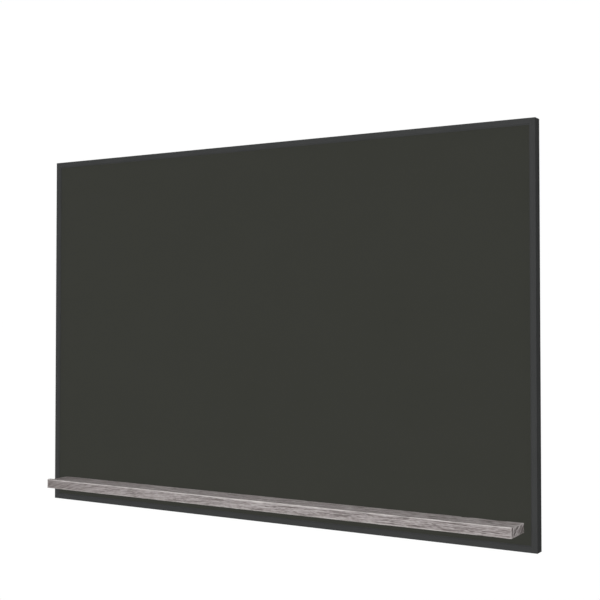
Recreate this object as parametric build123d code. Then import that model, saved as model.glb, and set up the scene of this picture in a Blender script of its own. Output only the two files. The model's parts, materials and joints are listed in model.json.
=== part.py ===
from build123d import *
import os
from math import cos, radians, tan

# A framed wall chalkboard with an oak chalk ledge. Millimetres. +Z is up and +X is to the right of a
# person who faces the board; the front faces -Y. The origin is the middle of the board's back: the
# centre of the four keyhole hangers, whose plates lie flush with the back of the frame at Y = 0.
# Rubber pads stand out behind that and meet the wall.

# ---- board and frame ---------------------------------------------------------------------------
WRITING_WIDTH = 1200.0
WRITING_HEIGHT = 800.0
FACE_WIDTH = 13.0  # the frame's width as seen from the front
RECESS = 3.5  # the writing surface lies this far behind the frame's face
WALL = 1.5  # of the extruded profile
ARRIS = 0.6  # radius on the profile's outer front edge
BEVEL = 2.8  # the face slopes down towards the writing surface over this width, at 45 degrees
PANEL_OVERLAP = 8.0  # how far the panel reaches into the frame's groove

BOARD_WIDTH = WRITING_WIDTH + 2 * FACE_WIDTH
BOARD_HEIGHT = WRITING_HEIGHT + 2 * FACE_WIDTH

# ---- the layers, from the back to the front ----------------------------------------------------
PLATE_THICKNESS = 1.5
BATTEN_THICKNESS = 9.0
BACKING_THICKNESS = 0.4
CORE_THICKNESS = 9.0
SHEET_THICKNESS = 0.6

FRAME_BACK = 0.0
BATTEN_BACK = FRAME_BACK - PLATE_THICKNESS
BACKING_BACK = BATTEN_BACK - BATTEN_THICKNESS
CORE_BACK = BACKING_BACK - BACKING_THICKNESS
SHEET_BACK = CORE_BACK - CORE_THICKNESS
SURFACE = SHEET_BACK - SHEET_THICKNESS
FRAME_FRONT = SURFACE - RECESS
FRAME_DEPTH = FRAME_BACK - FRAME_FRONT
PANEL_THICKNESS = SHEET_THICKNESS + CORE_THICKNESS + BACKING_THICKNESS

# ---- corner keys -------------------------------------------------------------------------------
KEY_ARM = 45.0
KEY_CLEARANCE = 0.1
KEY_SCREW_RADIUS = 2.5
KEY_SCREW_LENGTH = 5.0
KEY_SCREW_SOCKET = 2.5  # across the flats
KEY_SCREW_SOCKET_DEPTH = 2.5
KEY_SCREW_REACH = 30.0  # from the board's corner to the set screw

# ---- battens -----------------------------------------------------------------------------------
BATTEN_WIDTH = 60.0
BATTEN_GAP = 0.5  # between a batten's end and the frame
BATTEN_ROUNDING = 1.0
BATTEN_SCREW_COUNT = 6
BATTEN_SCREW_SPACING = 225.0
BATTEN_SCREW_OFFSET = 20.0  # above and below the batten's middle, in turn
BATTEN_SCREW_LENGTH = 16.0
BATTEN_SCREW_RADIUS = 2.0

BATTEN_LENGTH = WRITING_WIDTH - 2 * BATTEN_GAP

# ---- ledge -------------------------------------------------------------------------------------
LEDGE_LENGTH = 1162.0
LEDGE_OFFSET = 5.0  # the ledge sits slightly to the right of the board's middle
LEDGE_DEPTH = 68.0
LEDGE_THICKNESS = 19.0
LEDGE_HEIGHT = 36.0  # from the board's lower edge to the ledge's underside
LIP_THICKNESS = 10.0
LIP_RISE = 2.2
LEDGE_ARRIS = 0.8

LEDGE_BOTTOM = -BOARD_HEIGHT / 2 + LEDGE_HEIGHT
LEDGE_MIDDLE = LEDGE_BOTTOM + LEDGE_THICKNESS / 2
LIP_BACK = SURFACE - LEDGE_DEPTH + LIP_THICKNESS

BATTEN_LEVEL = -LEDGE_MIDDLE  # the battens lie this far above and below the board's middle

# ---- ledge bolts and inserts -------------------------------------------------------------------
BOLT_COUNT = 5
BOLT_SPACING = 270.0
BOLT_RADIUS = 3.0
BOLT_LENGTH = 30.0
BOLT_CLEARANCE = 0.5
BOLT_HEAD_RADIUS = 5.25
BOLT_HEAD_HEIGHT = 3.3
BOLT_HEAD_ROUNDING = 2.3
BOLT_SOCKET = 4.0  # across the flats
BOLT_SOCKET_DEPTH = 2.0
COUNTERBORE_RADIUS = 10.0
COUNTERBORE_DEPTH = 5.5
WASHER_RADIUS = 9.0
WASHER_THICKNESS = 1.6
INSERT_RADIUS = 5.0
INSERT_CORE_RADIUS = 4.3
INSERT_LENGTH = 14.0
INSERT_RINGS = 5
INSERT_HOLE_DEPTH = 16.0

# ---- hangers -----------------------------------------------------------------------------------
HANGER_SPACING = 800.0
PLATE_WIDTH = 66.0
PLATE_HEIGHT = 26.0
PLATE_CORNER = 3.0
PLATE_RAISE = 3.0  # the plate's middle lies this far above the entry hole
ENTRY_RADIUS = 5.0  # the wall screw's head goes in here
SLOT_RADIUS = 2.75  # and its shank slides up here
SLOT_RISE = 8.0
POCKET_RADIUS = 7.5
POCKET_DEPTH = 6.0
HANGER_SCREW_REACH = 25.0
HANGER_SCREW_LENGTH = 10.0
HANGER_SCREW_RADIUS = 1.75

# ---- wall pads ---------------------------------------------------------------------------------
PAD_RADIUS = 5.0
PAD_THICKNESS = 2.0
PAD_DOME = 0.8
PAD_INSET = 70.0  # from the board's upper or lower edge

# ---- countersunk screws ------------------------------------------------------------------------
CSK_HALF_ANGLE = 45.0
CSK_HEAD_RATIO = 2.0  # the head's radius over the shank's
TIP_RATIO = 2.0  # the tip's length over the shank's radius
CROSS_RATIO = 2.4  # the cross recess's span over the shank's radius
CROSS_WIDTH = 0.9
CROSS_DEPTH = 1.2

CUT_THROUGH = 2.0  # how far a cutter runs past the face that it cuts

SIDES = {"left": -1, "right": 1}
ENDS = {"bottom": -1, "top": 1}


def along_y(radius, start, end, x=0.0, z=0.0):
    """A round bar parallel to Y from start to end, at (x, z)."""
    middle = Location((x, (start + end) / 2, z), (90, 0, 0))
    return middle * Cylinder(radius, abs(end - start))


def slab(width, height, back, thickness, x=0.0, z=0.0):
    """A flat plate across Y whose rear face lies at back."""
    return Pos(x, back - thickness / 2, z) * Box(width, thickness, height)


def hex_socket(across_flats, start, depth, x, z):
    """A hexagonal recess that goes in along -Y from start."""
    radius = across_flats / 2 / cos(radians(30))
    outline = RegularPolygon(radius, 6)
    return Location((x, start, z), (90, 0, 0)) * extrude(outline, depth)


# ---- fasteners ---------------------------------------------------------------------------------
def countersunk_body(radius, length, back, x, z):
    """A countersunk wood screw without its recess; its head's flat face lies at back."""
    head_radius = CSK_HEAD_RATIO * radius
    head_height = (head_radius - radius) / tan(radians(CSK_HALF_ANGLE))
    outline = Polyline(
        (0, 0),
        (head_radius, 0),
        (radius, -head_height),
        (radius, -length + TIP_RATIO * radius),
        (0, -length),
        close=True,
    )
    return Pos(x, back, z) * revolve(make_face(outline), Axis.Y)


def countersunk_screw(radius, length, back, x, z):
    """The finished screw, with a cross recess in its head."""
    screw = countersunk_body(radius, length, back, x, z)
    span = CROSS_RATIO * radius
    for width, height in ((span, CROSS_WIDTH), (CROSS_WIDTH, span)):
        screw -= slab(width, height, back, CROSS_DEPTH, x, z)
    return screw


def button_bolt(seat, x, z):
    """A button-head bolt that goes in along -Y; the underside of its head lies at seat."""
    dome = Cylinder(BOLT_HEAD_RADIUS, BOLT_HEAD_HEIGHT)
    rim = dome.edges().filter_by(GeomType.CIRCLE).sort_by(Axis.Z)[-1]
    dome = fillet(rim, BOLT_HEAD_ROUNDING)
    head = Location((x, seat + BOLT_HEAD_HEIGHT / 2, z), (-90, 0, 0)) * dome
    shank = along_y(BOLT_RADIUS, seat, seat - BOLT_LENGTH, x, z)
    socket = hex_socket(BOLT_SOCKET, seat + BOLT_HEAD_HEIGHT, BOLT_SOCKET_DEPTH, x, z)
    return head + shank - socket


def washer(seat, x, z):
    """A wide washer whose front face lies at seat."""
    back = seat + WASHER_THICKNESS
    return along_y(WASHER_RADIUS, seat, back, x, z) - along_y(BOLT_RADIUS, seat, back, x, z)


def threaded_insert(x, z):
    """A ringed brass insert in the ledge's back edge."""
    end = SURFACE - INSERT_LENGTH
    insert = along_y(INSERT_CORE_RADIUS, SURFACE, end, x, z)
    pitch = INSERT_LENGTH / INSERT_RINGS
    for ring in range(INSERT_RINGS):
        start = SURFACE - ring * pitch
        insert += along_y(INSERT_RADIUS, start, start - pitch / 2, x, z)
    return insert - along_y(BOLT_RADIUS, SURFACE, end, x, z)


def set_screw_body(x, z):
    """A headless screw without its socket, flush with the frame's back."""
    return along_y(KEY_SCREW_RADIUS, FRAME_BACK, FRAME_BACK - KEY_SCREW_LENGTH, x, z)


def set_screw(x, z):
    socket = hex_socket(KEY_SCREW_SOCKET, FRAME_BACK, KEY_SCREW_SOCKET_DEPTH, x, z)
    return set_screw_body(x, z) - socket


# ---- where the fasteners go: (x, z) of each ----------------------------------------------------
BOLT_SPOTS = [
    (LEDGE_OFFSET + (i - (BOLT_COUNT - 1) / 2) * BOLT_SPACING, LEDGE_MIDDLE) for i in range(BOLT_COUNT)
]
BATTEN_SCREW_SPOTS = [
    (
        (i - (BATTEN_SCREW_COUNT - 1) / 2) * BATTEN_SCREW_SPACING,
        end * BATTEN_LEVEL + (-1) ** i * BATTEN_SCREW_OFFSET,
    )
    for end in ENDS.values()
    for i in range(BATTEN_SCREW_COUNT)
]
KEY_SCREW_SPOTS = [
    spot
    for side in SIDES.values()
    for end in ENDS.values()
    for spot in (
        (side * (BOARD_WIDTH / 2 - KEY_SCREW_REACH), end * (BOARD_HEIGHT - FACE_WIDTH) / 2),
        (side * (BOARD_WIDTH - FACE_WIDTH) / 2, end * (BOARD_HEIGHT / 2 - KEY_SCREW_REACH)),
    )
]
HANGER_SPOTS = {
    f"{end}_{side}": (SIDES[side] * HANGER_SPACING / 2, ENDS[end] * BATTEN_LEVEL)
    for end in ENDS
    for side in SIDES
}
HANGER_SCREW_SPOTS = [
    (x + side * HANGER_SCREW_REACH, z + PLATE_RAISE)
    for x, z in HANGER_SPOTS.values()
    for side in SIDES.values()
]


def batten_screws(make):
    """The screws from the battens into the core, made by countersunk_body or countersunk_screw."""
    return [
        make(BATTEN_SCREW_RADIUS, BATTEN_SCREW_LENGTH, BATTEN_BACK, x, z) for x, z in BATTEN_SCREW_SPOTS
    ]


def hanger_screws(make):
    """The screws from the hanger plates into the battens, made the same way."""
    return [
        make(HANGER_SCREW_RADIUS, HANGER_SCREW_LENGTH, FRAME_BACK, x, z) for x, z in HANGER_SCREW_SPOTS
    ]


def bolt_holes(start, end):
    """Clearance holes for the ledge bolts between two depths."""
    return [along_y(BOLT_RADIUS + BOLT_CLEARANCE, start, end, x, z) for x, z in BOLT_SPOTS]


# ---- panel -------------------------------------------------------------------------------------
def panel_layer(back, thickness):
    """One layer of the bonded panel, drilled for the ledge bolts."""
    overlap = 2 * PANEL_OVERLAP
    layer = slab(WRITING_WIDTH + overlap, WRITING_HEIGHT + overlap, back, thickness)
    return layer - bolt_holes(back + CUT_THROUGH, back - thickness - CUT_THROUGH)


# ---- frame -------------------------------------------------------------------------------------
def section_pocket(inner, front, back):
    """A hollow in the section, from the outer wall in to inner, between two depths from the front."""
    middle = Pos((WALL + inner) / 2, (front + back) / 2)
    return middle * Rectangle(inner - WALL, back - front)


def profile_section():
    """The extrusion's section: X runs inward from the outer edge, Y from the front to the back."""
    groove_back = RECESS + PANEL_THICKNESS
    outline = Pos(FACE_WIDTH / 2, FRAME_DEPTH / 2) * Rectangle(FACE_WIDTH, FRAME_DEPTH)
    outline = chamfer(outline.vertices().group_by(Axis.Y)[0].sort_by(Axis.X)[-1], BEVEL)
    outline = fillet(outline.vertices().group_by(Axis.Y)[0].sort_by(Axis.X)[0], ARRIS)
    front_cavity = section_pocket(FACE_WIDTH - BEVEL - WALL, WALL, RECESS)
    groove = section_pocket(FACE_WIDTH, RECESS, groove_back)
    key_chamber = section_pocket(FACE_WIDTH - WALL, groove_back + WALL, FRAME_DEPTH - WALL)
    return outline - front_cavity - groove - key_chamber


def frame_side(length, reach, angle):
    """One side of the frame, mitred, with access holes for the set screws through its back wall.

    It is made as the bottom side, length long and with its outer edge reach below the middle, and
    is then turned about Y.
    """
    plane = Plane(origin=(length / 2, FRAME_FRONT, -reach), x_dir=(0, 0, 1), z_dir=(-1, 0, 0))
    bar = extrude(plane * profile_section(), length)
    half = length / 2
    trapezium = Polyline(
        (-half, -reach),
        (half, -reach),
        (half - FACE_WIDTH, -reach + FACE_WIDTH),
        (-half + FACE_WIDTH, -reach + FACE_WIDTH),
        close=True,
    )
    mitred = bar & extrude(Plane.XZ * make_face(trapezium), FRAME_DEPTH)
    return Rot(0, angle, 0) * mitred - [set_screw_body(x, z) for x, z in KEY_SCREW_SPOTS]


def corner_key(side, end):
    """An L-shaped key in the chambers of the two profiles that meet at a corner."""
    width = FACE_WIDTH - 2 * WALL - 2 * KEY_CLEARANCE
    back = FRAME_BACK - WALL - KEY_CLEARANCE
    depth = back - (BACKING_BACK + WALL + KEY_CLEARANCE)
    corner_x = side * (BOARD_WIDTH - FACE_WIDTH) / 2
    corner_z = end * (BOARD_HEIGHT - FACE_WIDTH) / 2
    arm_middle = (KEY_ARM - width) / 2
    key = slab(KEY_ARM, width, back, depth, corner_x - side * arm_middle, corner_z)
    key += slab(width, KEY_ARM, back, depth, corner_x, corner_z - end * arm_middle)
    return key - [set_screw_body(x, z) for x, z in KEY_SCREW_SPOTS]


# ---- back --------------------------------------------------------------------------------------
def keyhole(back, depth, entry, slot, x, z):
    """A keyhole-shaped cutter: a round entry with a slot that rises from it."""
    cutter = along_y(entry, back, back - depth, x, z)
    cutter += along_y(slot, back, back - depth, x, z + SLOT_RISE)
    return cutter + slab(2 * slot, SLOT_RISE, back, depth, x, z + SLOT_RISE / 2)


def rear_batten(end):
    """A plywood batten with pockets behind the keyholes and seats for the ledge bolts."""
    batten = slab(BATTEN_LENGTH, BATTEN_WIDTH, BATTEN_BACK, BATTEN_THICKNESS, z=end * BATTEN_LEVEL)
    rear_edges = batten.edges().filter_by(Axis.X).group_by(Axis.Y)[-1]
    batten = fillet(rear_edges, BATTEN_ROUNDING)
    batten -= [
        keyhole(BATTEN_BACK, POCKET_DEPTH, POCKET_RADIUS, POCKET_RADIUS, x, z)
        for x, z in HANGER_SPOTS.values()
    ]
    batten -= bolt_holes(BATTEN_BACK, BACKING_BACK - CUT_THROUGH)
    batten -= [
        along_y(COUNTERBORE_RADIUS, BATTEN_BACK, BATTEN_BACK - COUNTERBORE_DEPTH, x, z)
        for x, z in BOLT_SPOTS
    ]
    return batten - batten_screws(countersunk_body) - hanger_screws(countersunk_body)


def hanger_plate(x, z):
    """A steel plate with a keyhole, fixed over its pocket by two countersunk screws."""
    outline = Plane.XZ * RectangleRounded(PLATE_WIDTH, PLATE_HEIGHT, PLATE_CORNER)
    plate = Pos(x, FRAME_BACK, z + PLATE_RAISE) * extrude(outline, PLATE_THICKNESS)
    plate -= keyhole(FRAME_BACK, PLATE_THICKNESS, ENTRY_RADIUS, SLOT_RADIUS, x, z)
    return plate - hanger_screws(countersunk_body)


def wall_pad(x, z):
    """A self-adhesive rubber pad, slightly domed where it meets the wall."""
    pad = Cylinder(PAD_RADIUS, PAD_THICKNESS)
    rim = pad.edges().filter_by(GeomType.CIRCLE).sort_by(Axis.Z)[-1]
    return Location((x, FRAME_BACK + PAD_THICKNESS / 2, z), (-90, 0, 0)) * fillet(rim, PAD_DOME)


# ---- ledge -------------------------------------------------------------------------------------
def ledge_board():
    """The plank that carries chalk and eraser, drilled from behind for the inserts."""
    depth = LEDGE_DEPTH - LIP_THICKNESS
    plank = slab(LEDGE_LENGTH, LEDGE_THICKNESS, SURFACE, depth, LEDGE_OFFSET, LEDGE_MIDDLE)
    plank = fillet(plank.edges().filter_by(Axis.Y), LEDGE_ARRIS)
    holes = [along_y(INSERT_RADIUS, SURFACE, SURFACE - INSERT_HOLE_DEPTH, x, z) for x, z in BOLT_SPOTS]
    return plank - holes


def ledge_lip():
    """The strip glued along the plank's front edge; it stands above the plank and stops the chalk."""
    height = LEDGE_THICKNESS + LIP_RISE
    lip = slab(LEDGE_LENGTH, height, LIP_BACK, LIP_THICKNESS, LEDGE_OFFSET, LEDGE_BOTTOM + height / 2)
    front = lip.edges().group_by(Axis.Y)[0]
    ends = lip.edges().filter_by(Axis.Y)
    top_back = lip.edges().filter_by(Axis.X).group_by(Axis.Y)[-1].sort_by(Axis.Z)[-1]
    return fillet(front + ends + ShapeList([top_back]), LEDGE_ARRIS)


# ---- the whole object --------------------------------------------------------------------------
def single_nodes():
    """The nodes that are there once, and the groups of identical fasteners."""
    washer_seat = BATTEN_BACK - COUNTERBORE_DEPTH
    head_seat = washer_seat + WASHER_THICKNESS
    fibreboard = panel_layer(CORE_BACK, CORE_THICKNESS)
    backing = panel_layer(BACKING_BACK, BACKING_THICKNESS)
    return {
        "writing_sheet": panel_layer(SHEET_BACK, SHEET_THICKNESS),
        "core_panel": fibreboard - batten_screws(countersunk_body),
        "backing_sheet": backing - batten_screws(countersunk_body),
        "frame_bottom_rail": frame_side(BOARD_WIDTH, BOARD_HEIGHT / 2, 0),
        "frame_left_stile": frame_side(BOARD_HEIGHT, BOARD_WIDTH / 2, 90),
        "frame_top_rail": frame_side(BOARD_WIDTH, BOARD_HEIGHT / 2, 180),
        "frame_right_stile": frame_side(BOARD_HEIGHT, BOARD_WIDTH / 2, 270),
        "corner_key_screws": Compound([set_screw(x, z) for x, z in KEY_SCREW_SPOTS]),
        "batten_screws": Compound(batten_screws(countersunk_screw)),
        "hanger_screws": Compound(hanger_screws(countersunk_screw)),
        "ledge_board": ledge_board(),
        "ledge_lip": ledge_lip(),
        "ledge_inserts": Compound([threaded_insert(x, z) for x, z in BOLT_SPOTS]),
        "ledge_washers": Compound([washer(washer_seat, x, z) for x, z in BOLT_SPOTS]),
        "ledge_bolts": Compound([button_bolt(head_seat, x, z) for x, z in BOLT_SPOTS]),
    }


def repeated_nodes():
    """The battens at top and bottom, and the key, hanger plate and pad at each corner."""
    nodes = {}
    for end_name, end in ENDS.items():
        nodes[f"rear_batten_{end_name}"] = rear_batten(end)
        for side_name, side in SIDES.items():
            corner = f"{end_name}_{side_name}"
            pad_x = side * (BOARD_WIDTH - FACE_WIDTH) / 2
            pad_z = end * (BOARD_HEIGHT / 2 - PAD_INSET)
            nodes[f"corner_key_{corner}"] = corner_key(side, end)
            nodes[f"hanger_plate_{corner}"] = hanger_plate(*HANGER_SPOTS[corner])
            nodes[f"wall_pad_{corner}"] = wall_pad(pad_x, pad_z)
    return nodes


def main():
    os.makedirs("parts", exist_ok=True)
    for name, shape in (single_nodes() | repeated_nodes()).items():
        shape.label = name
        export_step(shape, f"parts/{name}.step")
        print(f"{name}: {len(shape.solids())} solid(s), {shape.volume / 1000:.2f} cm3")


main()
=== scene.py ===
import json
import math

import bpy
import numpy as np
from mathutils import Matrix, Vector, noise


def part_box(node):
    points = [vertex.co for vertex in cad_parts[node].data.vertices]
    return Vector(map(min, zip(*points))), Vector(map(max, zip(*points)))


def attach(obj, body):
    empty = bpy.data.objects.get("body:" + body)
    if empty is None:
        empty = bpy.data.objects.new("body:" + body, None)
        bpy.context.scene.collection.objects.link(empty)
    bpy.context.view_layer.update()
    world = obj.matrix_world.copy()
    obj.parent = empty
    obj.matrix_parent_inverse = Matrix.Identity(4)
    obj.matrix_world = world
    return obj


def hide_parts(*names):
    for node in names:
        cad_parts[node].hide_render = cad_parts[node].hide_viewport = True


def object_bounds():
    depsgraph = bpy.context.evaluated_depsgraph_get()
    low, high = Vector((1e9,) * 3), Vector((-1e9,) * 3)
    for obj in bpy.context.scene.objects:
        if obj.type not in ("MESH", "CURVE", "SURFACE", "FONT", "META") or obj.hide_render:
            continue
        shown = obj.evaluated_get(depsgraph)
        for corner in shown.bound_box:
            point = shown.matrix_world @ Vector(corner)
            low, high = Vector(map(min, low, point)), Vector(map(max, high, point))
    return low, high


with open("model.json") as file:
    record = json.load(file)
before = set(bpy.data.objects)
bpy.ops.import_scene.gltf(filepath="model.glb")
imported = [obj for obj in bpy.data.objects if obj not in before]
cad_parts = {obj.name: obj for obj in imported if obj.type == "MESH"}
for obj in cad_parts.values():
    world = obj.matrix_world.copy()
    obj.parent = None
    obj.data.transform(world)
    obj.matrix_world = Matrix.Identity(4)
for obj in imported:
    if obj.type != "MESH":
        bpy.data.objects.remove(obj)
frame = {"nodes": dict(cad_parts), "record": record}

# A framed wall chalkboard with a weathered oak chalk ledge. Metres, in the frame's own axes: +X to
# the right, +Y into the wall, +Z up.

cad_low, cad_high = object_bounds()

SCENE = bpy.context.scene
MM = 0.001

# ---- camera and studio -------------------------------------------------------------------------
CAMERA_TURN = math.radians(31.031)  # from square on, towards the board's right
CAMERA_TILT = math.radians(1.469)  # upwards
CAMERA_DISTANCE = 2.3366  # along the view, to the front of the frame
AIM_RIGHT = 0.0913  # where the view meets the front of the frame, from the board's middle
AIM_UP = 0.0965
LENS = 65.496
SHIFT = -0.0216

# A face square to one of the fill lights is as bright as that share of its own colour, and the
# ambient light adds its share to every face.
AMBIENT = 0.12
BACKDROP = 1.005
FILL_LIGHTS = {
    "front": ((0.0, -1.0, 0.0), 0.855),
    "right": ((1.0, 0.0, 0.0), 0.43),
    "left": ((-1.0, 0.0, 0.0), 0.35),
    "above": ((0.0, 0.0, 1.0), 0.48),
    "below": ((0.0, 0.0, -1.0), 0.48),
}
SUN_SPREAD = math.radians(40.0)
BACK_FROM = Vector((-0.25, 0.80, 0.50))
BACK_STRENGTH = 2.4
FLOOR_DROP = 2.6  # from the board's lower edge to the floor, deep enough to look up at the ledge
FLOOR_SIZE = 40.0

# ---- oak ledge ---------------------------------------------------------------------------------
OAK_ARRIS = 0.8 * MM
OAK_ARRIS_STEPS = 3
OAK_STEP = (3.0 * MM, 0.75 * MM, 0.75 * MM)
SLANT = 0.4  # how steeply the fibres climb at the ledge's left end
SLANT_REACH = 200.0 * MM  # the slope dies away over about this distance
STAIN_REACH = 110.0 * MM  # the wood is darker at the ledge's left end, over about this distance
CALM_REACH = 350.0 * MM  # and its grain is fainter there, over about this one
PALE_BAND_WIDTH = 1.7 * MM  # how far the paler band reaches from an edge: rubbed wood, and on the front upper arris a painted highlight too
MIDDLE_WIDENING = 0.6  # on the front upper arris it reaches further by this share at the ledge's middle
MIDDLE_REACH = 130.0 * MM
EDGE_WEAR = 0.35  # of the paleness on the front upper arris, which is wear and painted highlight
FRONT_REACH = 2.5  # it reaches this many times as far down the front as back over the top
RING_ANGLE = math.radians(30.0)  # the growth rings rise towards the wall on the sawn ends

# How many cells of noise a metre holds along the fibre, across the top and down the front.
LONG_STROKES = (20.0, 240.0, 520.0)
SHORT_STROKES = (80.0, 260.0, 800.0)
FINE_FIBRES = (60.0, 220.0, 560.0)
EDGE_PATCHES = (60.0, 60.0, 60.0)
END_RINGS = (20.0, 22.0, 150.0)  # along X, then along and across the rings

# What each further noise of a piece adds to the piece's own seed.
FINE_SEED = 20
SHORT_SEED = 40
RING_SEED = 80
PATCH_SEED = 120

# How much the long and short strokes add to the weathered grain. A stroke starts to be a groove or a
# ridge at one strength, and is a full one a little further on.
LONG_SHARE = 0.7
SHORT_SHARE = 0.4
GROOVE_FROM = 0.18
GROOVE_BLEND = 0.06
RIDGE_FROM = 0.12
RIDGE_BLEND = 0.3
CALM = 0.6  # how much of the grooves and ridges is gone at the ledge's left end

# How far grooves, the stain, ridges and the edges darken or whiten the wood, from 0 to 1: the grooves
# are dark grain and painted shade, and the edges are rubbed wear with a painted highlight on the front
# upper arris.
# The grooves' darkening is dark grain and painted shade.
GROOVE_DARK = 0.75
STAIN_DARK = 0.6
RIDGE_PALE = 0.28
EDGE_PALE = 0.95
EDGE_PATCHINESS = 0.6

# How far the grain cuts into the wood.
FINE_RELIEF = 0.16 * MM
GROOVE_RELIEF = 0.35 * MM
RIDGE_RELIEF = 0.1 * MM

# The wood's colour: two of its noises count for less than the rest, and the sums run from the
# darkest tone at the low value to the lightest at the high one.
STREAK_SHARE = 0.6
CLOUD_SHARE = 0.2
SIDE_LOW = 1.08
SIDE_HIGH = 1.72
END_LOW = 0.8
END_HIGH = 1.2
END_FROM = 0.6  # a face is a sawn end where the X of its normal is past this
END_FULL = 0.8
GRAIN_ROUGHNESS = 0.55

# ---- other materials ---------------------------------------------------------------------------
WHITE = (1.0, 1.0, 1.0, 1.0)
BLACK = (0.0, 0.0, 0.0, 1.0)
NOISE_LOW = 0.3  # most of a noise texture's values lie between these two
NOISE_HIGH = 0.7
PLY = 1.5 * MM
GLUE_LINE = 0.3 * MM
OXIDE_DULLED = 0.65  # the metallic share of a surface under its film of oxide

# Each metal's display colours, darkest and lightest, and its least and greatest roughness.
METALS = {
    "key_alloy": ((150, 150, 150), (176, 176, 174), 0.4, 0.6),
    "black_screw_steel": ((26, 26, 27), (46, 46, 46), 0.35, 0.5),
    "zinc_steel": ((190, 192, 190), (214, 214, 208), 0.36, 0.5),
    "insert_brass": ((170, 132, 62), (206, 168, 92), 0.3, 0.45),
}

# The sockets of a Mix node that blends colours.
MIX_FACTOR = 0
MIX_FIRST = 6
MIX_SECOND = 7
MIX_RESULT = 2


def tone(red, green, blue):
    """A display colour, each part from 0 to 255, as the linear colour that shaders take (sRGB)."""
    parts = [c / 255 for c in (red, green, blue)]
    return tuple(c / 12.92 if c <= 0.04045 else ((c + 0.055) / 1.055) ** 2.4 for c in parts) + (1.0,)


# ---- node helpers ------------------------------------------------------------------------------
def add(tree, kind, inputs=None, **settings):
    """A new node. A value in inputs is a number, a colour or vector, or another node's output."""
    node = tree.nodes.new(kind)
    for name, value in settings.items():
        setattr(node, name, value)
    for name, value in (inputs or {}).items():
        if isinstance(value, bpy.types.NodeSocket):
            tree.links.new(value, node.inputs[name])
        else:
            node.inputs[name].default_value = value
    return node


def new_material(name, **sockets):
    """A principled material with its constant values set on the shader's own sockets."""
    material = bpy.data.materials.new(name)
    material.use_nodes = True
    shader = material.node_tree.nodes["Principled BSDF"]
    for socket, value in sockets.items():
        shader.inputs[socket.replace("_", " ")].default_value = value
    return material, material.node_tree, shader


def place(tree, scale, offset=(0.0, 0.0, 0.0)):
    """The object's own coordinates, in metres, moved by offset and then scaled along each axis."""
    coords = add(tree, "ShaderNodeTexCoord").outputs["Object"]
    moved = add(tree, "ShaderNodeVectorMath", {0: coords, 1: offset}, operation="ADD").outputs[0]
    return add(tree, "ShaderNodeVectorMath", {0: moved, 1: scale}, operation="MULTIPLY").outputs[0]


def grain(tree, scale, detail=3.0, distortion=0.0, offset=(0.0, 0.0, 0.0)):
    """Noise from 0 to 1 with that many cells to the metre along each axis."""
    vector = place(tree, scale, offset)
    inputs = {"Vector": vector, "Scale": 1.0, "Detail": detail, "Distortion": distortion}
    return add(tree, "ShaderNodeTexNoise", inputs).outputs["Fac"]


def math_node(tree, operation, *values):
    """One step of arithmetic on numbers or other nodes' outputs."""
    return add(tree, "ShaderNodeMath", dict(enumerate(values)), operation=operation).outputs[0]


def spread(tree, value, low, high, to_low=0.0, to_high=1.0):
    """The value mapped from low..high to to_low..to_high, and held at the ends."""
    inputs = {"Value": value, "From Min": low, "From Max": high, "To Min": to_low, "To Max": to_high}
    return add(tree, "ShaderNodeMapRange", inputs).outputs[0]


def spread_noise(tree, value, to_low=0.0, to_high=1.0):
    """The usual range of a noise texture's values mapped to to_low..to_high."""
    return spread(tree, value, NOISE_LOW, NOISE_HIGH, to_low, to_high)


def blend(tree, factor, first, second):
    """Two colours mixed by factor."""
    inputs = {MIX_FACTOR: factor, MIX_FIRST: first, MIX_SECOND: second}
    return add(tree, "ShaderNodeMix", inputs, data_type="RGBA").outputs[MIX_RESULT]


def ramp(tree, value, stops):
    """A colour ramp; stops are (position, colour)."""
    node = add(tree, "ShaderNodeValToRGB", {"Fac": value})
    elements = node.color_ramp.elements
    while len(elements) < len(stops):
        elements.new(0.5)
    for element, (position, colour) in zip(elements, stops):
        element.position = position
        element.color = colour
    return node.outputs["Color"]


def bump(tree, shader, height, distance):
    """Surface relief that the light reads, distance metres high."""
    inputs = {"Height": height, "Distance": distance}
    normal = add(tree, "ShaderNodeBump", inputs).outputs["Normal"]
    tree.links.new(normal, shader.inputs["Normal"])


# ---- materials ---------------------------------------------------------------------------------
def writing_enamel():
    """Matt grey-green enamel: a fine pebbled surface with a faint haze of wiped chalk."""
    material, tree, shader = new_material("writing_enamel", IOR=1.5, Specular_IOR_Level=0.1)
    haze = grain(tree, (5.0, 5.0, 7.0), detail=5.0, distortion=0.6)
    smear = grain(tree, (9.0, 1.0, 60.0), detail=4.0, offset=(3.0, 0.0, 1.0))
    chalk = math_node(tree, "MULTIPLY", spread(tree, haze, 0.35, 0.75), spread(tree, smear, 0.3, 0.8))
    colour = blend(tree, spread(tree, chalk, 0.0, 1.0, 0.0, 0.35), tone(50, 51, 46), tone(53, 54, 49))
    speck = grain(tree, (2600.0, 2600.0, 2600.0), detail=1.0)
    colour = blend(tree, spread_noise(tree, speck, 0.0, 0.2), colour, tone(53, 54, 49))
    tree.links.new(colour, shader.inputs["Base Color"])
    roughness = spread_noise(tree, haze, 0.74, 0.84)
    tree.links.new(roughness, shader.inputs["Roughness"])
    bump(tree, shader, speck, 0.03 * MM)
    return material


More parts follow.
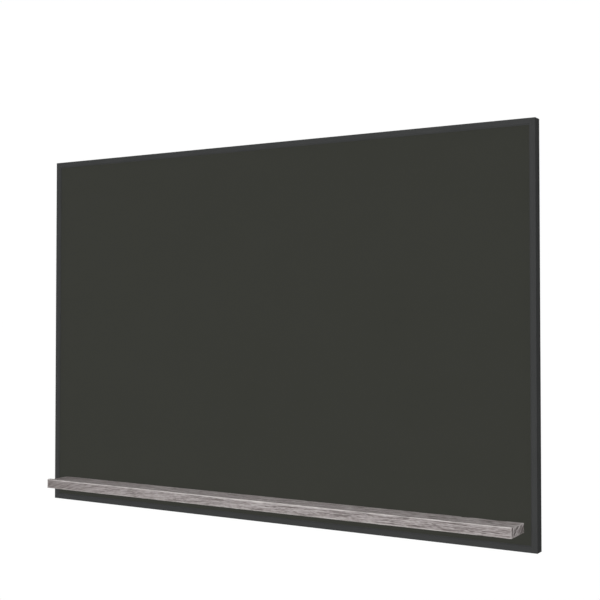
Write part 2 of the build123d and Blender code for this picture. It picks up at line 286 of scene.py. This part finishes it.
def frame_coating():
    """Dark grey powder coat: a slight orange peel, a little paler where it is handled."""
    material, tree, shader = new_material("frame_coating", IOR=1.5, Specular_IOR_Level=0.12)
    peel = grain(tree, (900.0, 900.0, 900.0), detail=2.0)
    handled = grain(tree, (14.0, 14.0, 14.0), detail=4.0)
    colour = blend(tree, spread(tree, handled, 0.3, 0.75), tone(51, 52, 52), tone(54, 55, 55))
    tree.links.new(colour, shader.inputs["Base Color"])
    tree.links.new(spread_noise(tree, peel, 0.5, 0.66), shader.inputs["Roughness"])
    bump(tree, shader, peel, 0.06 * MM)
    return material


def attribute(tree, name, output="Fac"):
    """A value stored on the mesh's points."""
    return add(tree, "ShaderNodeAttribute", attribute_name=name).outputs[output]


def stretched(tree, vector, scale, detail=2.0):
    """Noise from 0 to 1 over given coordinates, with that many cells to the metre along each axis."""
    scaled = add(tree, "ShaderNodeVectorMath", {0: vector, 1: scale}, operation="MULTIPLY").outputs[0]
    inputs = {"Vector": scaled, "Scale": 1.0, "Detail": detail, "Roughness": GRAIN_ROUGHNESS}
    return add(tree, "ShaderNodeTexNoise", inputs).outputs["Fac"]


def side_grain(tree):
    """Brightness of the long faces, 0 to 1: fine fibres, strokes and streaks, broader on the top."""
    fibre = attribute(tree, "fibre", "Vector")
    fine = stretched(tree, fibre, (140.0, 500.0, 1000.0))
    strokes = stretched(tree, fibre, (60.0, 320.0, 600.0), detail=1.0)
    streaks = stretched(tree, fibre, (14.0, 160.0, 450.0), detail=1.0)
    cloud = stretched(tree, fibre, (6.0, 30.0, 60.0))
    total = math_node(tree, "ADD", fine, strokes)
    total = math_node(tree, "MULTIPLY_ADD", streaks, STREAK_SHARE, total)
    total = math_node(tree, "MULTIPLY_ADD", cloud, CLOUD_SHARE, total)
    return spread(tree, total, SIDE_LOW, SIDE_HIGH)


def end_grain(tree):
    """Brightness of the sawn ends, 0 to 1: growth rings that rise towards the wall, and saw marks."""
    coords = add(tree, "ShaderNodeTexCoord").outputs["Object"]
    inputs = {"Vector": coords, "Rotation": (-RING_ANGLE, 0.0, 0.0)}
    turned = add(tree, "ShaderNodeMapping", inputs).outputs[0]
    rings = stretched(tree, turned, (20.0, 25.0, 160.0))
    marks = stretched(tree, turned, (20.0, 120.0, 450.0), detail=3.0)
    return spread(tree, math_node(tree, "ADD", rings, marks), END_LOW, END_HIGH)


def weathered_oak():
    """Silvery grey oak: darker in its grooves from dark grain and painted shade, and paler along its
    edges from rubbed wear, with a painted highlight on the front upper arris.
    """
    material, tree, shader = new_material("weathered_oak", IOR=1.45, Specular_IOR_Level=0.2)
    middle = tone(148, 141, 140)
    side_stops = [(0.0, tone(120, 113, 112)), (0.5, middle), (1.0, tone(175, 170, 169))]
    side = blend(tree, attribute(tree, "calm"), ramp(tree, side_grain(tree), side_stops), middle)
    end_stops = [(0.0, tone(66, 59, 58)), (0.5, tone(127, 120, 119)), (1.0, tone(186, 180, 179))]
    end = ramp(tree, end_grain(tree), end_stops)
    normal = add(tree, "ShaderNodeTexCoord").outputs["Normal"]
    along = add(tree, "ShaderNodeSeparateXYZ", {"Vector": normal}).outputs["X"]
    on_end = spread(tree, math_node(tree, "ABSOLUTE", along), END_FROM, END_FULL)
    colour = blend(tree, on_end, side, end)
    colour = blend(tree, attribute(tree, "dark"), colour, tone(84, 77, 75))
    colour = blend(tree, attribute(tree, "pale"), colour, tone(206, 201, 199))
    tree.links.new(colour, shader.inputs["Base Color"])
    fibre = stretched(tree, attribute(tree, "fibre", "Vector"), (40.0, 1400.0, 1400.0))
    tree.links.new(spread_noise(tree, fibre, 0.72, 0.92), shader.inputs["Roughness"])
    bump(tree, shader, fibre, 0.12 * MM)
    return material


def backing_steel():
    """Galvanised sheet: a faint crystal spangle, each facet with its own brightness and sheen."""
    material, tree, shader = new_material("backing_steel", Metallic=OXIDE_DULLED)
    inputs = {"Vector": place(tree, (110.0, 110.0, 110.0)), "Scale": 1.0}
    spangle = add(tree, "ShaderNodeTexVoronoi", inputs, distance="MANHATTAN")
    facet = add(tree, "ShaderNodeSeparateColor", {"Color": spangle.outputs["Color"]}).outputs[0]
    cloud = grain(tree, (9.0, 9.0, 9.0), detail=4.0)
    zinc = blend(tree, facet, tone(196, 199, 201), tone(214, 216, 217))
    colour = blend(tree, spread(tree, cloud, 0.35, 0.7, 0.0, 0.3), zinc, tone(180, 184, 187))
    tree.links.new(colour, shader.inputs["Base Color"])
    tree.links.new(spread(tree, facet, 0.0, 1.0, 0.42, 0.52), shader.inputs["Roughness"])
    bump(tree, shader, grain(tree, (300.0, 300.0, 300.0)), 0.02 * MM)
    return material


def batten_plywood():
    """Birch plywood: long pale figure on its faces and dark glue lines on its edges."""
    material, tree, shader = new_material("batten_plywood", Specular_IOR_Level=0.3)
    figure = grain(tree, (3.0, 60.0, 60.0), detail=5.0, distortion=1.2)
    fibre = grain(tree, (25.0, 900.0, 900.0), detail=2.0)
    face = blend(tree, figure, tone(186, 157, 120), tone(208, 184, 150))
    face = blend(tree, spread(tree, fibre, 0.5, 0.75, 0.0, 0.4), face, tone(156, 124, 88))
    coords = add(tree, "ShaderNodeTexCoord")
    depth = add(tree, "ShaderNodeSeparateXYZ", {"Vector": coords.outputs["Object"]}).outputs["Y"]
    ply = math_node(tree, "PINGPONG", depth, PLY)
    glue = spread(tree, ply, 0.0, GLUE_LINE, 1.0, 0.0)
    edge = blend(tree, glue, face, tone(104, 74, 48))
    facing = add(tree, "ShaderNodeSeparateXYZ", {"Vector": coords.outputs["Normal"]}).outputs["Y"]
    flat = math_node(tree, "ABSOLUTE", facing)
    colour = blend(tree, spread(tree, flat, 0.6, 0.9), edge, face)
    tree.links.new(colour, shader.inputs["Base Color"])
    tree.links.new(spread(tree, fibre, 0.2, 0.8, 0.5, 0.7), shader.inputs["Roughness"])
    bump(tree, shader, fibre, 0.08 * MM)
    return material


def worn_metal(name, dark, light, rough_low, rough_high):
    """A plain or blackened metal, dulled by its oxide, with cloudy wear and fine scratches."""
    material, tree, shader = new_material(name, Metallic=OXIDE_DULLED)
    cloud = grain(tree, (160.0, 160.0, 160.0), detail=4.0)
    scratch = grain(tree, (120.0, 900.0, 900.0), detail=1.0)
    colour = blend(tree, spread_noise(tree, cloud), tone(*dark), tone(*light))
    tree.links.new(colour, shader.inputs["Base Color"])
    tree.links.new(spread_noise(tree, cloud, rough_low, rough_high), shader.inputs["Roughness"])
    bump(tree, shader, scratch, 0.004 * MM)
    return material


def core_fibreboard():
    """Brown fibreboard with its felted flecks."""
    material, tree, shader = new_material("core_fibreboard", Specular_IOR_Level=0.2, Roughness=0.85)
    fleck = grain(tree, (500.0, 900.0, 500.0), detail=4.0)
    colour = blend(tree, spread_noise(tree, fleck), tone(128, 96, 62), tone(170, 134, 92))
    tree.links.new(colour, shader.inputs["Base Color"])
    bump(tree, shader, fleck, 0.1 * MM)
    return material


def pad_rubber():
    """Black rubber with a dusty bloom."""
    material, tree, shader = new_material("pad_rubber", Specular_IOR_Level=0.35)
    bloom = grain(tree, (400.0, 400.0, 400.0), detail=4.0)
    colour = blend(tree, spread(tree, bloom, 0.35, 0.75), tone(24, 24, 25), tone(48, 47, 46))
    tree.links.new(colour, shader.inputs["Base Color"])
    tree.links.new(spread_noise(tree, bloom, 0.6, 0.8), shader.inputs["Roughness"])
    bump(tree, shader, bloom, 0.05 * MM)
    return material


# ---- oak meshes --------------------------------------------------------------------------------
def grid_stops(low, high, rounding, step):
    """Grid lines along one axis: close over the rounded arrises, about step apart between them."""
    angles = np.linspace(math.pi / 4, 0, OAK_ARRIS_STEPS, endpoint=False)
    arc = rounding * (1 - np.tan(angles))
    count = max(2, round((high - low - 2 * rounding) / step) + 1)
    flat = np.linspace(low + rounding, high - rounding, count)
    return np.concatenate([low + arc, flat, (high - arc)[::-1]])


def lattice_faces(counts):
    """The four corners, as (i, j, k), of each face on the outside of a lattice of points."""
    faces = []
    for normal in range(3):
        across, up = [axis for axis in range(3) if axis != normal]
        i, j = np.meshgrid(np.arange(counts[across] - 1), np.arange(counts[up] - 1), indexing="ij")
        for end in (0, counts[normal] - 1):
            corners = []
            for right, top in ((0, 0), (1, 0), (1, 1), (0, 1)):
                triple = np.full(i.shape + (3,), end)
                triple[..., across] = i + right
                triple[..., up] = j + top
                corners.append(triple.reshape(-1, 3))
            inward = (end == 0) != (normal == 1)
            faces.append(np.stack(corners[::-1] if inward else corners, axis=1))
    return np.concatenate(faces)


def rounded_block(low, high, rounding, steps):
    """Points, outward directions and faces of a block with rounded arrises."""
    stops = [grid_stops(low[a], high[a], rounding, steps[a]) for a in range(3)]
    counts = [len(line) for line in stops]
    triples = lattice_faces(counts)
    codes = np.ravel_multi_index(np.moveaxis(triples, -1, 0), counts)
    used, faces = np.unique(codes, return_inverse=True)
    index = np.unravel_index(used, counts)
    square = np.stack([stops[a][index[a]] for a in range(3)], axis=1)
    core = np.clip(square, np.array(low) + rounding, np.array(high) - rounding)
    outward = square - core
    outward /= np.linalg.norm(outward, axis=1, keepdims=True)
    return core + outward * rounding, outward, faces.reshape(codes.shape)


def soft_noise(points, scale, seed):
    """Smooth noise, about -1 to 1, at each point; seed moves it elsewhere."""
    places = points * np.array(scale) + seed
    return np.array([noise.noise(Vector(p)) for p in places])


def from_left_end(points):
    """How far each point lies from the ledge's left end."""
    return points[:, 0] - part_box("ledge_board")[0].x


def fibre_places(points, outward):
    """Coordinates that follow the grain: it climbs the front at the left end, and is level elsewhere."""
    falling = np.exp(-from_left_end(points) / SLANT_REACH)
    climb = SLANT * SLANT_REACH * falling * np.abs(outward[:, 1])
    return points + np.stack([0 * climb, 0 * climb, climb], axis=1)


def ring_places(points):
    """Coordinates along and across the growth rings of the sawn ends."""
    along = points[:, 1] * math.cos(RING_ANGLE) + points[:, 2] * math.sin(RING_ANGLE)
    across = points[:, 2] * math.cos(RING_ANGLE) - points[:, 1] * math.sin(RING_ANGLE)
    return np.stack([points[:, 0], along, across], axis=1)


def oak_strokes(points, fibre, on_end, seed):
    """The weathered grain, about -1 in its hollows to 1 on its ridges, with rings on the sawn ends."""
    long = soft_noise(fibre, LONG_STROKES, seed)
    short = soft_noise(fibre, SHORT_STROKES, seed + SHORT_SEED)
    rings = soft_noise(ring_places(points), END_RINGS, seed + RING_SEED)
    strokes = LONG_SHARE * long + SHORT_SHARE * short
    return strokes * (1 - on_end) + rings * on_end


def edge_wear_and_highlight(points, low, high):
    """Rubbed wear, with a painted highlight on the front upper arris: 1 there and less on the block's
    other edges, falling away over the faces.
    """
    to_low, to_high = points - np.array(low), np.array(high) - points
    to_edge = np.sort(np.minimum(to_low, to_high), axis=1)[:, 1]
    to_front_arris = np.maximum(FRONT_REACH * to_low[:, 1], to_high[:, 2])
    from_middle = points[:, 0] - (low.x + high.x) / 2
    width = PALE_BAND_WIDTH * (1 + MIDDLE_WIDENING * np.exp(-((from_middle / MIDDLE_REACH) ** 2)))
    front = np.exp(-((to_front_arris / width) ** 2))
    return np.maximum(front, EDGE_WEAR * np.exp(-((to_edge / PALE_BAND_WIDTH) ** 2)))


def store(mesh, name, kind, field, values):
    """Keeps one value for each point of the mesh, for its material to read."""
    layer = mesh.attributes.new(name, kind, "POINT")
    layer.data.foreach_set(field, values.astype(np.float32).ravel())


def oak_piece(node, material, seed):
    """A ledge part as weathered timber: rubbed arrises with a painted highlight on the front upper one,
    raised grain, and the grooves between, darkened partly by painted shade.
    """
    low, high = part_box(node)
    points, outward, faces = rounded_block(low, high, OAK_ARRIS, OAK_STEP)
    fibre = fibre_places(points, outward)
    strokes = oak_strokes(points, fibre, np.abs(outward[:, 0]), seed)
    from_left = from_left_end(points)
    calm = CALM * np.exp(-from_left / CALM_REACH)
    # The groove darkening is dark grain plus painted shade in the hollows, which the shadowless lights
    # leave unshaded.
    groove = np.clip((-strokes - GROOVE_FROM) / GROOVE_BLEND, 0, 1) * (1 - calm)
    ridge = np.clip((strokes - RIDGE_FROM) / RIDGE_BLEND, 0, 1) * (1 - calm)
    fine = soft_noise(fibre, FINE_FIBRES, seed + FINE_SEED)
    stain = np.exp(-from_left / STAIN_REACH)
    # The pale band is rubbed wear, with a painted highlight on the front upper arris.
    patchy = EDGE_PALE + EDGE_PATCHINESS * soft_noise(points, EDGE_PATCHES, seed + PATCH_SEED)
    dark = np.clip(GROOVE_DARK * groove + STAIN_DARK * stain, 0, 1)
    pale = np.clip(edge_wear_and_highlight(points, low, high) * patchy + RIDGE_PALE * ridge, 0, 1)
    depth = FINE_RELIEF * (1 - fine) + GROOVE_RELIEF * groove + RIDGE_RELIEF * (1 - ridge)
    points = points - outward * depth[:, None]
    mesh = bpy.data.meshes.new("weathered_" + node)
    mesh.from_pydata(points.tolist(), [], faces.tolist())
    store(mesh, "dark", "FLOAT", "value", dark)
    store(mesh, "pale", "FLOAT", "value", pale)
    store(mesh, "calm", "FLOAT", "value", calm)
    store(mesh, "fibre", "FLOAT_VECTOR", "vector", fibre + seed)
    mesh.polygons.foreach_set("use_smooth", [True] * len(mesh.polygons))
    mesh.materials.append(material)
    piece = bpy.data.objects.new("weathered_" + node, mesh)
    SCENE.collection.objects.link(piece)
    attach(piece, "root")
    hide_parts(node)


# ---- paint the CAD nodes -----------------------------------------------------------------------
def paint_nodes(oak):
    """Gives every carried-over CAD node the finish of its material slot."""
    finishes = {name: worn_metal(name, *look) for name, look in METALS.items()}
    finishes.update(
        writing_enamel=writing_enamel(),
        core_fibreboard=core_fibreboard(),
        backing_steel=backing_steel(),
        frame_coating=frame_coating(),
        batten_plywood=batten_plywood(),
        pad_rubber=pad_rubber(),
        weathered_oak=oak,
    )
    for part in frame["record"]["subparts"]:
        node = frame["nodes"][part["node"]]
        node.data.materials.clear()
        node.data.materials.append(finishes[part["material_slot"]])


# ---- camera, light and floor -------------------------------------------------------------------
def make_camera():
    """The camera stands to the board's right, a little above its middle, and looks slightly up."""
    low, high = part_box("frame_bottom_rail")
    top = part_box("frame_top_rail")[1]
    aim = Vector(((low.x + high.x) / 2 + AIM_RIGHT, low.y, (low.z + top.z) / 2 + AIM_UP))
    level = math.cos(CAMERA_TILT)
    rise = math.sin(CAMERA_TILT)
    look = Vector((-math.sin(CAMERA_TURN) * level, math.cos(CAMERA_TURN) * level, rise))
    data = bpy.data.cameras.new("camera")
    data.lens = LENS
    data.shift_y = SHIFT
    camera = bpy.data.objects.new("camera", data)
    camera.location = aim - look * CAMERA_DISTANCE
    camera.rotation_euler = look.to_track_quat("-Z", "Y").to_euler()
    SCENE.collection.objects.link(camera)
    SCENE.camera = camera


def make_world():
    """Even white light from all sides, and a pure white backdrop."""
    world = bpy.data.worlds.new("studio")
    SCENE.world = world
    world.use_nodes = True
    tree = world.node_tree
    tree.nodes.clear()
    soft = add(tree, "ShaderNodeBackground", {"Color": WHITE, "Strength": AMBIENT})
    white = add(tree, "ShaderNodeBackground", {"Color": WHITE, "Strength": BACKDROP})
    direct = add(tree, "ShaderNodeLightPath").outputs["Is Camera Ray"]
    both = add(tree, "ShaderNodeMixShader", {0: direct, 1: soft.outputs[0], 2: white.outputs[0]})
    add(tree, "ShaderNodeOutputWorld", {"Surface": both.outputs[0]})


def make_sun(name, direction, strength):
    """A broad, distant light from that direction."""
    light = bpy.data.lights.new(name, "SUN")
    light.energy = strength
    light.angle = SUN_SPREAD
    sun = bpy.data.objects.new(name, light)
    sun.rotation_euler = (-direction).to_track_quat("-Z", "Y").to_euler()
    SCENE.collection.objects.link(sun)
    return light


def make_lights():
    """Even shadowless light on the front, sides, top and bottom, and a soft key behind the board."""
    for name, (direction, share) in FILL_LIGHTS.items():
        make_sun(name, Vector(direction), share * math.pi).use_shadow = False
    make_sun("back", BACK_FROM, BACK_STRENGTH)


def make_floor():
    """A plain white floor well below the hanging board, which throws no light of its own on it."""
    level = cad_low.z - FLOOR_DROP
    half = FLOOR_SIZE / 2
    corners = [(-half, -half, level), (half, -half, level), (half, half, level), (-half, half, level)]
    mesh = bpy.data.meshes.new("floor")
    mesh.from_pydata(corners, [], [(0, 1, 2, 3)])
    material, _, shader = new_material("floor", Specular_IOR_Level=0.0, Base_Color=BLACK)
    shader.inputs["Emission Color"].default_value = WHITE
    shader.inputs["Emission Strength"].default_value = BACKDROP
    mesh.materials.append(material)
    floor = bpy.data.objects.new("floor", mesh)
    floor.visible_diffuse = False
    floor.visible_glossy = False
    SCENE.collection.objects.link(floor)


# ---- the scene ---------------------------------------------------------------------------------
SCENE.view_settings.view_transform = "Standard"
oak = weathered_oak()
paint_nodes(oak)
oak_piece("ledge_board", oak, 3.0)
oak_piece("ledge_lip", oak, 11.0)
make_camera()
make_world()
make_lights()
make_floor()
